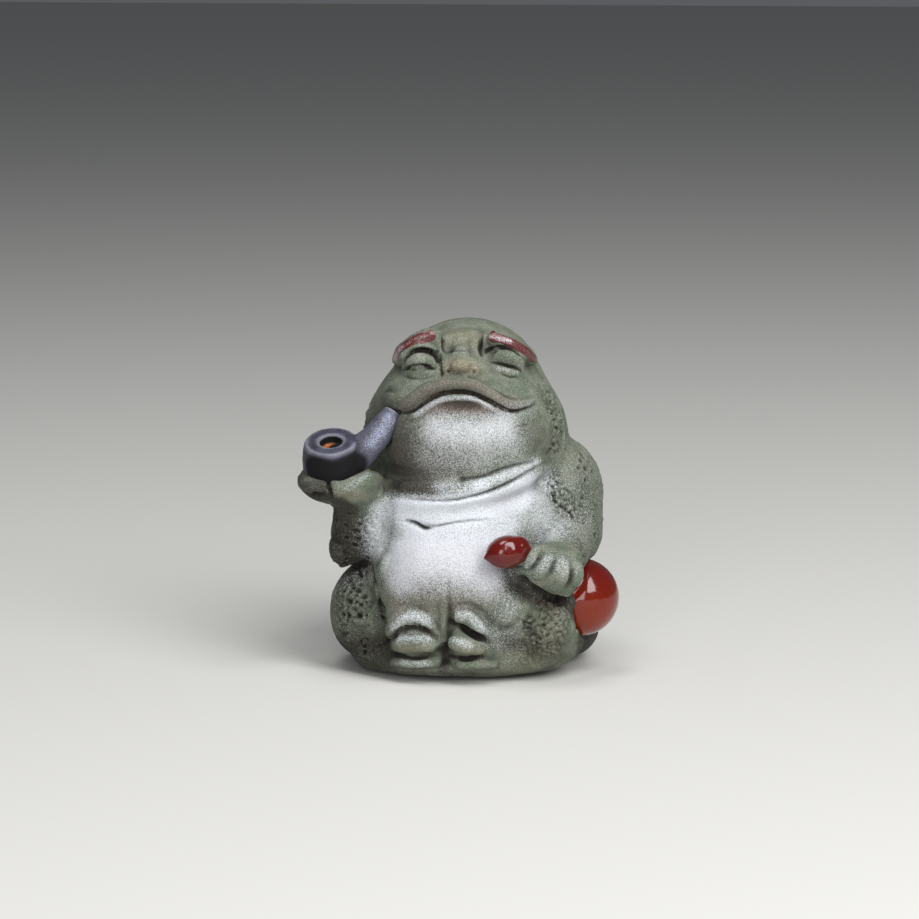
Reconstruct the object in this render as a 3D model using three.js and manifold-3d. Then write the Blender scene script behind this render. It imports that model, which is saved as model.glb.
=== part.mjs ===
// A seated money toad in fired clay. It leans back with its chin up, draws on a bent pipe that lies in its
// right hand, and grips a bottle gourd by the waist in its left. Millimetres, +Z up, the toad faces -Y, and
// the origin is the middle of its flat underside.
import * as THREE from 'three';
import { mergeVertices } from 'three/addons/utils/BufferGeometryUtils.js';
import Module from 'manifold-3d';

const wasm = await Module();
wasm.setup();

// Driving sizes
const figureHeight = 55.5; // underside to crown
const headTurn = THREE.MathUtils.degToRad(4); // the head looks a little to its left
const fitGap = 0.3; // between the toad and what it holds

const bowlRimRadius = 4.25;
const bowlBellyRadius = 4.8;
const bowlHeight = 7.8;
const bowlBoreRadius = 1.75;
const bowlBoreDepth = 3.2;
const bowlLean = THREE.MathUtils.degToRad(23.5); // forwards
const stemRadius = 3; // where it leaves the bowl
const mouthpieceRadius = 1.9; // where it enters the lips
const stemBite = 0.8; // length of the mouthpiece between the lips

const gourdBigRadius = 6.2;
const gourdSmallRadius = 2.55;
const gourdSmallReach = 3.3; // half the length of the small bulb
const gourdWaistRadius = 1.7;
const gourdBulbSpacing = 19.9; // along the spine, between the middles of the two bulbs
const gourdNeckBend = THREE.MathUtils.degToRad(35); // from the waist to the middle of the small bulb
const gourdStalkRadius = 0.7;
const gourdStalkLength = 1;

// Finish of the drawing
const fineStep = 0.85; // grid step over the face, the belly and the feet
const coarseStep = 1.6; // grid step over the back
const frontEnds = -3; // where the fine steps give way to the coarse ones
const mostTriangles = 6250; // of the toad before it is cut
const bowlSides = 24;
const stemSides = 14;
const gourdSides = 18;

const scale = figureHeight / 55.5; // the lumps and places below are written down for that height
const point = (x, y, z) => new THREE.Vector3(x, y, z).multiplyScalar(scale);
const bothSides = (make) => [-1, 1].map(make);

// A field takes a point and gives its distance to a surface, below zero inside the clay.

function lump(centre, radii, lean = [0, 0, 0]) {
  const [rx, ry, rz] = radii.map((r) => r * scale);
  const turn = new THREE.Quaternion().setFromEuler(new THREE.Euler(...lean.map(THREE.MathUtils.degToRad)));
  const inward = new THREE.Matrix4().compose(point(...centre), turn, new THREE.Vector3(1, 1, 1)).invert();
  const q = new THREE.Vector3();
  return (p) => {
    q.copy(p).applyMatrix4(inward);
    const share = Math.hypot(q.x / rx, q.y / ry, q.z / rz);
    const slope = Math.hypot(q.x / rx ** 2, q.y / ry ** 2, q.z / rz ** 2);
    return slope > 0 ? (share * (share - 1)) / slope : -Math.min(rx, ry, rz);
  };
}

function limbBetween(from, to, startRadius, endRadius) {
  const along = new THREE.Vector3().subVectors(to, from);
  const q = new THREE.Vector3();
  return (p) => {
    q.subVectors(p, from);
    const t = THREE.MathUtils.clamp(q.dot(along) / along.lengthSq(), 0, 1);
    return q.addScaledVector(along, -t).length() - THREE.MathUtils.lerp(startRadius, endRadius, t);
  };
}

const limb = (from, to, startRadius, endRadius) =>
  limbBetween(point(...from), point(...to), startRadius * scale, endRadius * scale);

// A roll of clay laid along a curve, thinner towards its ends.
function roll(points, radius, endShare = 0.5, pieces = 10) {
  const laid = new THREE.CatmullRomCurve3(points.map((p) => point(...p))).getPoints(pieces);
  const radiusAt = (i) => radius * scale * (1 - (1 - endShare) * Math.abs((2 * i) / pieces - 1) ** 3);
  const limbs = laid.slice(1).map((to, i) => limbBetween(laid[i], to, radiusAt(i), radiusAt(i + 1)));
  return (p) => Math.min(...limbs.map((f) => f(p)));
}

function softMin(a, b, soft) {
  const share = Math.max(soft - Math.abs(a - b), 0) / soft;
  return Math.min(a, b) - (share * share * soft) / 4;
}

const joined = (soft, ...fields) => (p) =>
  fields.reduce((d, f) => softMin(d, f(p), soft * scale), Infinity);

const hollowed = (soft, field, ...tools) => (p) =>
  tools.reduce((d, f) => -softMin(-d, f(p), soft * scale), field(p));

function turned(angle, field) {
  const q = new THREE.Vector3();
  const axis = new THREE.Vector3(0, 0, 1);
  return (p) => field(q.copy(p).applyAxisAngle(axis, -angle));
}

// The toad's lumps

function torso() {
  return joined(
    3,
    lump([0, 3, 11.5], [19.6, 17.5, 13.5]), // hips and rump
    lump([0, 1, 25], [17.8, 18.6, 10.5]), // chest
    lump([0, 6, 27], [18, 13.5, 13]), // back
    lump([0, 8, 19], [17, 12.3, 12]), // small of the back
    lump([0, 6.5, 38], [12.4, 11.2, 8]), // nape
    lump([-0.6, -7, 15.8], [13.6, 14.4, 11.2]), // belly
  );
}

// The head, looking straight ahead
const mirrored = (points) => [...points.slice(1).reverse().map(([x, y, z]) => [-x, y, z]), ...points];
const mouthLine = mirrored([
  [0, -18.7, 46.7], [2.8, -18, 46.1], [4.4, -17.6, 45], [5.7, -16.8, 44],
  [7.2, -15.7, 43.1], [8.7, -14.6, 42.7], [10.2, -13.6, 42.8], [11.3, -12.7, 43.4], [12.2, -11.9, 44],
]);
const upperLip = mirrored([
  [0, -18.4, 47.9], [2.9, -17.9, 47.2], [4.9, -17, 46.2], [7.9, -14.6, 44], [10.9, -12.4, 44.4],
]);
const lowerLip = mirrored([[0, -18.3, 45.3], [3, -18, 44.6], [5.6, -16.6, 42.8], [8.4, -14.2, 41.4]]);
const browLine = [
  [3.3, -8.9, 53.1], [5.6, -9.3, 53.1], [7.7, -8.7, 52.5], [9.6, -6.8, 51.4], [11, -4.6, 49.7],
];

function head() {
  const skull = joined(
    3.5,
    lump([0, 1.5, 44.2], [12.2, 14.2, 11.3]),
    lump([0, -6.5, 44.4], [12.8, 11.4, 5.4]), // muzzle
    ...bothSides((side) => lump([side * 9.2, -3, 38.6], [7, 10, 7.2])), // jowls
    lump([0, -8.4, 38], [12.8, 12.4, 8.8]), // throat
  );
  const sockets = bothSides((side) => lump([side * 7.2, -11.6, 50.6], [3.4, 2.6, 2]));
  const underLip = lump([0, -20.6, 43], [4.4, 1.6, 1.1]);
  return joined(
    0.8,
    hollowed(1, skull, ...sockets, underLip),
    lump([0, -6.6, 51.9], [3.9, 3.9, 3]), // between the brows
    lump([0, -12.2, 49.7], [3.5, 2.9, 2]), // nose
    ...bothSides((side) => lump([side * 2.5, -13, 49.1], [1.3, 1.4, 1.1])), // nostril wings
    ...bothSides((side) => lump([side * 7, -9.6, 49.9], [3, 2.7, 2.1])), // eyelids
    ...bothSides((side) => roll(browLine.map(([x, y, z]) => [side * x, y, z]), 1.35, 0.8)), // brows
    roll(upperLip, 1.15, 0.6, 14),
    roll(lowerLip, 1, 0.6, 14),
  );
}

function chinRoll() {
  return lump([0, -2, 33.4], [16.2, 18, 3], [13, -8, 0]);
}

// The right hand is a shallow cup: the fingers round its outer rim, the thumb across the front
const cupFingers = [[-20.5, -12.8, 29.4], [-23, -14.8, 31.2], [-22.9, -18, 31.8], [-20.4, -20, 32]];
const thumb = [[-11.8, -15, 31.6], [-13.2, -18.6, 32], [-16, -20.2, 31.5], [-18.6, -20.6, 31]];
const cupRadius = 1.6;

function rightArm() {
  return joined(
    1.5,
    lump([-14.8, 1, 29.5], [6.3, 9, 7]), // shoulder
    limb([-15.4, 0, 27], [-16, -6, 21.5], 5.8, 5),
    limb([-15.9, -8.8, 21.9], [-15.5, -13.6, 28.4], 4.7, 3.7), // forearm
    lump([-17, -16, 30.4], [5.4, 4.4, 3]), // palm
    roll(cupFingers, cupRadius, 0.8),
    roll(thumb, cupRadius, 0.8),
  );
}

function leftArm() {
  return joined(
    1.5,
    lump([14.8, 1, 29.5], [6.3, 9, 7]), // shoulder
    limb([15.8, 0.5, 28], [16.8, -2, 22], 6.1, 5.5),
    limb([17, -4, 21], [17, -10.5, 19.6], 4.6, 4), // forearm
  );
}

// Four fingers lie side by side over the fist, from the little one's knuckle line to the first one's.
function fist() {
  const first = [[13.2, -16.8, 21.7], [11.5, -19, 20.5], [10.6, -19, 18.6], [11, -17, 17]];
  const last = [[19.4, -14.6, 20.2], [19.2, -16.8, 18.4], [18.6, -17, 16], [17.9, -15.4, 14.4]];
  const bulge = 1.1;
  const fingerRadius = 1.45;
  const fingers = [0, 1 / 3, 2 / 3, 1].map((share) => {
    const between = ([x, y, z], n) => {
      const [farX, farY, farZ] = last[n];
      const forward = bulge * Math.sin(Math.PI * share);
      return [x + (farX - x) * share, y + (farY - y) * share - forward, z + (farZ - z) * share];
    };
    return roll(first.map(between), fingerRadius, 0.9, 6);
  });
  return joined(0.5, lump([15.6, -14.8, 18], [4.6, 4, 4.2]), ...fingers);
}

function legs() {
  return joined(
    1,
    lump([-14.9, -4.5, 8.8], [6.5, 11.6, 8.1]), // right thigh and knee
    lump([14.9, -9.6, 8], [5, 8, 7]), // left knee
    lump([13.4, 4, 6.2], [7.4, 11, 6.6]), // left haunch
    lump([9.6, -12.8, 11.4], [5.2, 6, 6.2], [0, 25, 0]), // inside of the left thigh
    lump([-0.9, -14.6, 8.6], [3, 4, 7.4]), // belly between the feet
    limb([13.4, -11.6, 3], [4.6, -15.6, 2.9], 3.8, 3.5), // left shin
    limb([-13, -12, 3], [-7, -15.6, 2.9], 3.6, 3.5), // right ankle
  );
}

function toes() {
  return joined(
    0.4,
    limb([-8, -17.8, 10.4], [-2.6, -19.8, 10.9], 1.6, 1.5), // right foot, from the top toe down
    limb([-7.6, -18.4, 7.1], [-2.6, -20.2, 7.4], 1.9, 1.9),
    limb([-7.6, -17.6, 3.5], [-2.6, -19, 3.5], 2, 1.9),
    limb([7, -17.2, 8.7], [1.8, -19.8, 11], 1.6, 1.5), // left foot
    limb([6.4, -17.6, 5.8], [1.8, -20.2, 7.1], 1.8, 1.9),
    limb([8, -16.4, 3.3], [1.9, -19, 3.5], 1.9, 1.9),
  );
}

const clayField = joined(
  1.1,
  joined(2.4, torso(), turned(headTurn, head()), chinRoll()),
  rightArm(),
  leftArm(),
  fist(),
  legs(),
  toes(),
);
const toadField = (p) => Math.max(clayField(p), -1.5 * scale - p.z);

// Turning a field into a mesh

// Taken over a little distance, so that in a crease it points out along the crease's middle
const slopeOf = (field, p, step = 0.4 * scale) => {
  const side = (axis) => {
    const q = p.clone();
    q[axis] += step;
    const ahead = field(q);
    q[axis] -= 2 * step;
    return ahead - field(q);
  };
  return new THREE.Vector3(side('x'), side('y'), side('z')).divideScalar(2 * step);
};

// Moves a point along the slope to the surface, each try no further than the longest move.
function settle(field, p, tries = 4, longest = Infinity) {
  for (let i = 0; i < tries; i++) {
    const slope = slopeOf(field, p);
    p.add(slope.multiplyScalar(-field(p) / Math.max(slope.lengthSq(), 0.05)).clampLength(0, longest));
  }
  return p;
}

function gridLines(low, high, stepAt) {
  const lines = [low];
  while (lines.at(-1) < high) lines.push(lines.at(-1) + stepAt(lines.at(-1) / scale) * scale);
  return lines;
}

// A checkered side of a cell, or a cell whose lone corners face each other through its middle, would pinch
// the mesh, so the shallower empty corner is filled.
function fillPinches(values, [nx, ny, nz]) {
  const steps = [1, nx, nx * ny];
  const sides = [[0, 1], [1, 2], [2, 0]].map(([s, t]) => [0, steps[s], steps[s] + steps[t], steps[t]]);
  const cell = [0, 1, 2, 3, 4, 5, 6, 7].map((c) => {
    return (c & 1) * steps[0] + ((c >> 1) & 1) * steps[1] + (c >> 2) * steps[2];
  });
  const isInside = (c) => values[c] < 0;
  const pinches = (a) => {
    const crossed = sides.map((side) => side.map((step) => a + step)).filter((corners) => {
      const [w, x, y, z] = corners.map(isInside);
      return w === y && x === z && w !== x;
    });
    const corners = cell.map((step) => a + step);
    const full = corners.filter(isInside).length;
    for (const c of [0, 1, 2, 3]) {
      const [one, other] = [isInside(corners[c]), isInside(corners[7 - c])];
      if (one === other && full === (one ? 2 : 6)) crossed.push(corners);
    }
    return crossed;
  };
  for (let again = true; again; ) {
    again = false;
    for (let k = 0; k < nz - 1; k++)
      for (let j = 0; j < ny - 1; j++)
        for (let i = 0; i < nx - 1; i++)
          for (const corners of pinches(i + nx * (j + ny * k))) {
            const empty = corners.filter((c) => values[c] >= 0);
            if (!empty.length) continue;
            values[empty.reduce((a, b) => (values[b] < values[a] ? b : a))] = -1e-3;
            again = true;
          }
  }
}

// One vertex in each cell that the surface crosses, and two triangles across each grid edge that it cuts.
function skin(field, lines) {
  const size = lines.map((l) => l.length);
  const [nx, ny, nz] = size;
  const index = (i, j, k) => i + nx * (j + ny * k);
  const corner = (i, j, k) => new THREE.Vector3(lines[0][i], lines[1][j], lines[2][k]);
  const values = new Float64Array(nx * ny * nz);
  for (let k = 0; k < nz; k++)
    for (let j = 0; j < ny; j++)
      for (let i = 0; i < nx; i++) values[index(i, j, k)] = field(corner(i, j, k));
  fillPinches(values, size);

  const edges = [];
  for (let c = 0; c < 8; c++)
    for (const bit of [1, 2, 4]) if (!(c & bit)) edges.push([c, c | bit]);
  const vertexOf = new Map();
  const vertices = [];
  for (let k = 0; k < nz - 1; k++)
    for (let j = 0; j < ny - 1; j++)
      for (let i = 0; i < nx - 1; i++) {
        const at = (c) => [i + (c & 1), j + ((c >> 1) & 1), k + (c >> 2)];
        const crossed = edges.filter(([a, b]) => values[index(...at(a))] < 0 !== values[index(...at(b))] < 0);
        if (!crossed.length) continue;
        const middle = new THREE.Vector3();
        for (const [a, b] of crossed) {
          const [va, vb] = [values[index(...at(a))], values[index(...at(b))]];
          middle.add(corner(...at(a)).lerp(corner(...at(b)), va / (va - vb)));
        }
        vertexOf.set(index(i, j, k), vertices.length);
        vertices.push(middle.divideScalar(crossed.length));
      }

  const triangles = [];
  const steps = [[1, 0, 0], [0, 1, 0], [0, 0, 1]];
  for (let k = 1; k < nz - 1; k++)
    for (let j = 1; j < ny - 1; j++)
      for (let i = 1; i < nx - 1; i++)
        steps.forEach(([di, dj, dk], axis) => {
          const inside = values[index(i, j, k)] < 0;
          if (inside === values[index(i + di, j + dj, k + dk)] < 0) return;
          const [u, v] = [steps[(axis + 1) % 3], steps[(axis + 2) % 3]];
          const cell = (a, b) =>
            vertexOf.get(index(i - a * u[0] - b * v[0], j - a * u[1] - b * v[1], k - a * u[2] - b * v[2]));
          const ring = [cell(0, 0), cell(1, 0), cell(1, 1), cell(0, 1)];
          if (!inside) ring.reverse();
          const [a, b, c, d] = ring;
          const gapOn = (p, q) => Math.abs(field(vertices[p].clone().lerp(vertices[q], 0.5)));
          if (gapOn(a, c) < gapOn(b, d)) triangles.push([a, b, c], [a, c, d]);
          else triangles.push([b, c, d], [b, d, a]);
        });
  return { vertices, triangles };
}

// Evens out the steps that the grid leaves, then brings the vertices back to the surface.
function evened({ vertices, triangles }, field, rounds = 3, longestMove = 0.15 * scale) {
  const near = vertices.map(() => new Set());
  for (const t of triangles) for (const a of t) for (const b of t) if (a !== b) near[a].add(b);
  let places = vertices;
  for (let i = 0; i < rounds; i++) {
    places = places.map((p, a) => {
      const mean = [...near[a]].reduce((sum, b) => sum.add(places[b]), new THREE.Vector3());
      return mean.divideScalar(near[a].size).lerp(p, 0.5);
    });
  }
  return { vertices: places.map((p) => settle(field, p, 1, longestMove)), triangles };
}

// Takes vertices out by sliding each onto the neighbour where the skin changes least, until few triangles
// are left. A vertex remembers the planes that met in it, and in those slid onto it, as one sum of squares.
function thinned({ vertices, triangles }, most) {
  const slimmest = 0.2; // twice a triangle's area over its longest side squared
  const mostTurned = 0.75; // cosine of the turn that a slide may give a triangle
  const around = vertices.map(() => new Set());
  triangles.forEach((t, i) => t.forEach((v) => around[v].add(i)));
  const [u, v] = [new THREE.Vector3(), new THREE.Vector3()];
  const normalOf = ([a, b, c], target = new THREE.Vector3()) => {
    u.subVectors(vertices[b], vertices[a]);
    v.subVectors(vertices[c], vertices[a]);
    return target.crossVectors(u, v);
  };
  const planes = vertices.map(() => new Float64Array(10));
  for (const t of triangles) {
    const n = normalOf(t);
    const area = n.length();
    n.normalize();
    const plane = [n.x, n.y, n.z, -n.dot(vertices[t[0]])];
    let slot = 0;
    for (let row = 0; row < 4; row++)
      for (let column = row; column < 4; column++, slot++)
        for (const c of t) planes[c][slot] += area * plane[row] * plane[column];
  }
  const offPlanes = (sums, p) => {
    const at = [p.x, p.y, p.z, 1];
    let [total, slot] = [0, 0];
    for (let row = 0; row < 4; row++)
      for (let column = row; column < 4; column++, slot++)
        total += (row === column ? 1 : 2) * sums[slot] * at[row] * at[column];
    return total;
  };
  const neighbours = (a) => new Set([...around[a]].flatMap((i) => triangles[i]).filter((c) => c !== a));
  const [before, after] = [new THREE.Vector3(), new THREE.Vector3()];
  const keepsShape = (a, b) =>
    [...around[a]].every((i) => {
      if (triangles[i].includes(b)) return true;
      const moved = triangles[i].map((c) => (c === a ? b : c));
      const area = normalOf(moved, after).length();
      const sides = moved.map((c, n) => vertices[c].distanceToSquared(vertices[moved[(n + 1) % 3]]));
      const facing = after.dot(normalOf(triangles[i], before).normalize()) / area;
      return area > slimmest * Math.max(...sides) && facing > mostTurned;
    });
  let left = triangles.length;
  while (left > most) {
    const slides = [];
    vertices.forEach((_, a) => {
      let best = { cost: Infinity };
      for (const b of neighbours(a)) {
        const cost = offPlanes(planes[a], vertices[b]);
        if (cost < best.cost && keepsShape(a, b)) best = { a, b, cost };
      }
      if (best.cost < Infinity) slides.push(best);
    });
    slides.sort((p, q) => p.cost - q.cost);
    const touched = new Set();
    const enough = Math.min(slides.length / 8, (left - most) / 2);
    let done = 0;
    for (const { a, b } of slides) {
      if (done >= enough) break;
      const ring = neighbours(a);
      if (touched.has(a) || [...ring].some((c) => touched.has(c))) continue;
      if ([...neighbours(b)].filter((c) => ring.has(c)).length !== 2) continue;
      for (const i of [...around[a]]) {
        for (const c of triangles[i]) around[c].delete(i);
        if (triangles[i].includes(b)) left -= 1;
        else {
          triangles[i] = triangles[i].map((c) => (c === a ? b : c));
          for (const c of triangles[i]) around[c].add(i);
        }
      }
      planes[a].forEach((sum, slot) => (planes[b][slot] += sum));
      [a, b, ...ring].forEach((c) => touched.add(c));
      done += 1;
    }
    if (!done) break;
  }
  const kept = new Set([].concat(...around.map((set) => [...set])));
  return { vertices, triangles: triangles.filter((_, i) => kept.has(i)) };
}

function geometryFrom({ vertices, triangles }) {
  const used = [...new Set(triangles.flat())];
  const renumbered = new Map(used.map((v, i) => [v, i]));
  const geometry = new THREE.BufferGeometry();
  const places = used.flatMap((v) => vertices[v].toArray());
  geometry.setAttribute('position', new THREE.Float32BufferAttribute(places, 3));
  geometry.setIndex(triangles.flat().map((v) => renumbered.get(v)));
  return geometry;
}

// Solids

function solidOf(geometry) {
  const bare = geometry.clone();
  bare.deleteAttribute('normal');
  bare.deleteAttribute('uv');
  const merged = mergeVertices(bare, 1e-4);
  return new wasm.Manifold(
    new wasm.Mesh({
      numProp: 3,
      vertProperties: new Float32Array(merged.attributes.position.array),
      triVerts: new Uint32Array(merged.index.array),
    }),
  );
}

function geometryOf(solid) {
  const mesh = solid.getMesh();
  const geometry = new THREE.BufferGeometry();
  geometry.setAttribute('position', new THREE.BufferAttribute(new Float32Array(mesh.vertProperties), 3));
  geometry.setIndex(new THREE.BufferAttribute(new Uint32Array(mesh.triVerts), 1));
  return geometry;
}

// A turned piece from a profile of [radius, place along the axis], its axis +Y.
const lathe = (profile, sides = bowlSides) =>
  new THREE.LatheGeometry(profile.map(([r, y]) => new THREE.Vector2(r, y)), sides);

// Bends a turned piece whose axis runs from 0 to 1 along a curve. normalAt gives the way its Z faces.
function bent(geometry, pointAt, normalAt) {
  const bend = geometry.clone();
  const places = bend.getAttribute('position');
  const [p, ahead, behind] = [new THREE.Vector3(), new THREE.Vector3(), new THREE.Vector3()];
  for (let i = 0; i < places.count; i++) {
    const [x, t, z] = [places.getX(i), THREE.MathUtils.clamp(places.getY(i), 0, 1), places.getZ(i)];
    pointAt(t, p);
    pointAt(Math.min(t + 1e-3, 1), ahead);
    pointAt(Math.max(t - 1e-3, 0), behind);
    const along = ahead.clone().sub(behind).normalize();
    const side = along.clone().cross(normalAt(t, p)).normalize();
    const up = side.clone().cross(along);
    p.addScaledVector(side, x).addScaledVector(up, z);
    places.setXYZ(i, p.x, p.y, p.z);
  }
  return bend;
}

// A groove made with a round-ended tool, drawn over the clay.
function stroke(points, width, depth, pieces = 12, sides = 6) {
  const curve = new THREE.CatmullRomCurve3(points);
  const profile = Array.from({ length: pieces + 1 }, (_, i) => {
    const t = i / pieces;
    return [i % pieces ? Math.sin(Math.PI * t) ** 0.6 : 0, t];
  });
  const tool = lathe(profile, sides);
  tool.scale(width / 2, 1, depth);
  const onClay = (t, target) => settle(toadField, curve.getPoint(t, target));
  return solidOf(bent(tool, onClay, (t, p) => slopeOf(toadField, p)));
}

// The pipe

const bowlFoot = point(-18.8, -15.4, 31);
const lips = point(-10.1, -13.6, 41.4);

function pipeSolid(extra = 0) {
  const outline = [
    [0, -extra],
    [bowlRimRadius * 0.66, -extra],
    [bowlBellyRadius * 0.9 + extra, bowlHeight * 0.14],
    [bowlBellyRadius + extra, bowlHeight * 0.4],
    [bowlBellyRadius * 0.98 + extra, bowlHeight * 0.68],
    [bowlRimRadius * 1.02 + extra, bowlHeight * 0.92],
    [bowlRimRadius * 0.98 + extra, bowlHeight + extra],
    [0, bowlHeight + extra],
  ];
  const upright = new THREE.Matrix4().makeRotationX(Math.PI / 2 + bowlLean).setPosition(bowlFoot);
  const bowl = solidOf(lathe(outline).applyMatrix4(upright));
  const start = new THREE.Vector3(0, bowlHeight * 0.4, 0).applyMatrix4(upright);
  const end = lips.clone().add(lips.clone().sub(start).setLength(stemBite));
  const sag = point(1.1, -0.6, -1.3);
  const curve = new THREE.QuadraticBezierCurve3(start, start.clone().lerp(end, 0.5).add(sag), end);
  const pieces = 9;
  const rings = Array.from({ length: pieces + 1 }, (_, i) => {
    const t = i / pieces;
    return [THREE.MathUtils.lerp(stemRadius, mouthpieceRadius, t) + extra, t];
  });
  const tube = lathe([[0, 0], ...rings, [0, 1]], stemSides);
  const forward = new THREE.Vector3(0, -1, 0);
  const stem = solidOf(bent(tube, (t, target) => curve.getPoint(t, target), () => forward));
  const body = bowl.add(stem);
  if (extra) return body;
  const bore = lathe([
    [0, bowlHeight - bowlBoreDepth],
    [bowlBoreRadius, bowlHeight - bowlBoreDepth],
    [bowlBoreRadius, bowlHeight + 1],
    [0, bowlHeight + 1],
  ]);
  return body.subtract(solidOf(bore.applyMatrix4(upright)));
}

// The gourd. Its neck bends from the waist on, so that the small bulb nods.

const gourdWaist = point(14.7, -13.2, 18.1);
const gourdAxis = new THREE.Vector3(0.45, 0.66, -0.6).normalize(); // from the waist to the big bulb

function gourdSolid(extra = 0) {
  const half = gourdBulbSpacing / 2;
  const tip = -half - gourdSmallReach - gourdStalkLength;
  const end = half + gourdBigRadius;
  const along = (place) => (place - tip + extra) / (end - tip + 2 * extra);
  const bulb = (middle, radius, reach, from, to, pieces) =>
    Array.from({ length: pieces + 1 }, (_, i) => {
      const a = THREE.MathUtils.degToRad(THREE.MathUtils.lerp(from, to, i / pieces));
      return [(radius + extra) * Math.sin(a), along(middle - (reach + extra) * Math.cos(a))];
    });
  const outline = [
    [0, 0],
    [gourdStalkRadius + extra, 0],
    ...bulb(-half, gourdSmallRadius, gourdSmallReach, 22, 138, 7),
    [gourdWaistRadius + extra, along(-half * 0.42)],
    [gourdWaistRadius + extra, along(half * 0.05)],
    ...bulb(half, gourdBigRadius, gourdBigRadius, 32, 180, 9),
  ];
  outline.at(-1)[0] = 0;
  const down = new THREE.Vector3(0, 0, -1).addScaledVector(gourdAxis, gourdAxis.z).normalize();
  const bendRadius = half / gourdNeckBend;
  const spine = (t, target) => {
    const place = tip - extra + t * (end - tip + 2 * extra);
    const angle = Math.max(-place / bendRadius, 0);
    return target
      .copy(gourdWaist)
      .addScaledVector(gourdAxis, place > 0 ? place : -bendRadius * Math.sin(angle))
      .addScaledVector(down, bendRadius * (1 - Math.cos(angle)));
  };
  return solidOf(bent(lathe(outline, gourdSides), spine, () => down));
}

// The toad

function toadSolid() {
  const reach = figureHeight / 2;
  const margin = 3 * scale;
  const lines = [
    gridLines(-reach, reach, () => fineStep),
    gridLines(-reach, reach, (y) => (y < frontEnds ? fineStep : coarseStep)),
    gridLines(-margin, figureHeight + margin, () => fineStep),
  ];
  return solidOf(geometryFrom(thinned(evened(skin(toadField, lines), toadField), mostTriangles)));
}

const underChest = [[-8, -16.6, 25.4], [-4, -17.8, 24.6], [7, -18, 25.8]];
const toeGaps = [
  [[-9.4, -18.6, 9], [-5, -20.6, 9.2], [-0.4, -20.6, 9.2]], // right foot
  [[-9.4, -18.4, 5.3], [-5, -20, 5.3], [-0.4, -20, 5.4]],
  [[7.8, -17.6, 7.4], [4, -19.8, 8.6], [0.4, -20.4, 9.6]], // left foot
  [[7, -18, 4.6], [4, -19.6, 4.6], [0.4, -20, 5.3]],
];

// Lines drawn into the clay
function strokes() {
  const up = new THREE.Vector3(0, 0, 1);
  const onHead = (points) => points.map((p) => point(...p).applyAxisAngle(up, headTurn));
  const eyeSlit = [[4.6, -12, 49.6], [7, -12.4, 49.2], [9.4, -10.6, 48.8]];
  const nostril = [[3.2, -14.4, 49.4], [2.6, -14.9, 48.2]];
  const onBothSides = (points, ...rest) =>
    bothSides((side) => stroke(onHead(points.map(([x, y, z]) => [side * x, y, z])), ...rest));
  return [
    stroke(onHead(mouthLine), 1.1, 0.8, 18),
    ...onBothSides(eyeSlit, 0.9, 0.6, 6),
    ...onBothSides(nostril, 0.9, 0.7, 4),
    stroke(underChest.map((p) => point(...p)), 0.9, 0.6, 8),
    ...toeGaps.map((points) => stroke(points.map((p) => point(...p)), 1.1, 1.1, 5)),
  ];
}

const wide = 4 * figureHeight;
const below = new THREE.BoxGeometry(wide, wide, figureHeight).translate(0, 0, -figureHeight / 2);
const cuts = [solidOf(below), pipeSolid(fitGap), gourdSolid(fitGap), ...strokes()];
const toad = cuts.reduce((solid, cut) => solid.subtract(cut), toadSolid());

const clay = new THREE.MeshStandardMaterial({ color: 0x66705f, roughness: 0.85, metalness: 0 });
const slate = new THREE.MeshStandardMaterial({ color: 0x3d3c47, roughness: 0.6, metalness: 0 });
const glaze = new THREE.MeshStandardMaterial({ color: 0x7a2418, roughness: 0.15, metalness: 0 });

function node(name, solid, material) {
  const mesh = new THREE.Mesh(geometryOf(solid), material);
  mesh.name = name;
  return mesh;
}

const figure = new THREE.Group();
figure.add(node('toad', toad, clay), node('pipe', pipeSolid(), slate), node('gourd', gourdSolid(), glaze));

export default figure;
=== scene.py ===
import math
import random

import bmesh
import bpy
import numpy as np
from mathutils import Matrix, Vector, noise
from mathutils.bvhtree import BVHTree
from mathutils.kdtree import KDTree


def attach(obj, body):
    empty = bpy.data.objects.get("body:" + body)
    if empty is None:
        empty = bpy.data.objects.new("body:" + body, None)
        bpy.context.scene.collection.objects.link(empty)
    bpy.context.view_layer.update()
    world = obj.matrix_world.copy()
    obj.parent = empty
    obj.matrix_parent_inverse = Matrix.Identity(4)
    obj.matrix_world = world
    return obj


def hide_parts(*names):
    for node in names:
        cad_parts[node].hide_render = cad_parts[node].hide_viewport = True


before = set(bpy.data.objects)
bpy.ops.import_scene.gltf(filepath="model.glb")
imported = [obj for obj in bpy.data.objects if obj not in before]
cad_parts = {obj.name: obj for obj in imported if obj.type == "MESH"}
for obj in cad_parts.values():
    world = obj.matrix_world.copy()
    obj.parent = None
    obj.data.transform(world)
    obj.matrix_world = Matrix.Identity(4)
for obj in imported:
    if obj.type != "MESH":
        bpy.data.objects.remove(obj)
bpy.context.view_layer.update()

mm = 0.001
print("frame loaded:", sorted(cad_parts))


# Camera, matched to the photograph
shot = {
    "side": 919,  # pixels
    "azimuth": 8.5,
    "elevation": 9,
    "distance": 600 * mm,
    "lens": 145,
    "sensor": 36,
    "footPixel": (467, 659),  # where the middle of the underside shows
}


def cameraAxes():
    azimuth, elevation = math.radians(shot["azimuth"]), math.radians(shot["elevation"])
    level = Vector((math.sin(azimuth), -math.cos(azimuth), 0))
    toCamera = level * math.cos(elevation) + Vector((0, 0, math.sin(elevation)))
    right = Vector((math.cos(azimuth), math.sin(azimuth), 0))
    return right, toCamera.cross(right), toCamera


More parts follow.
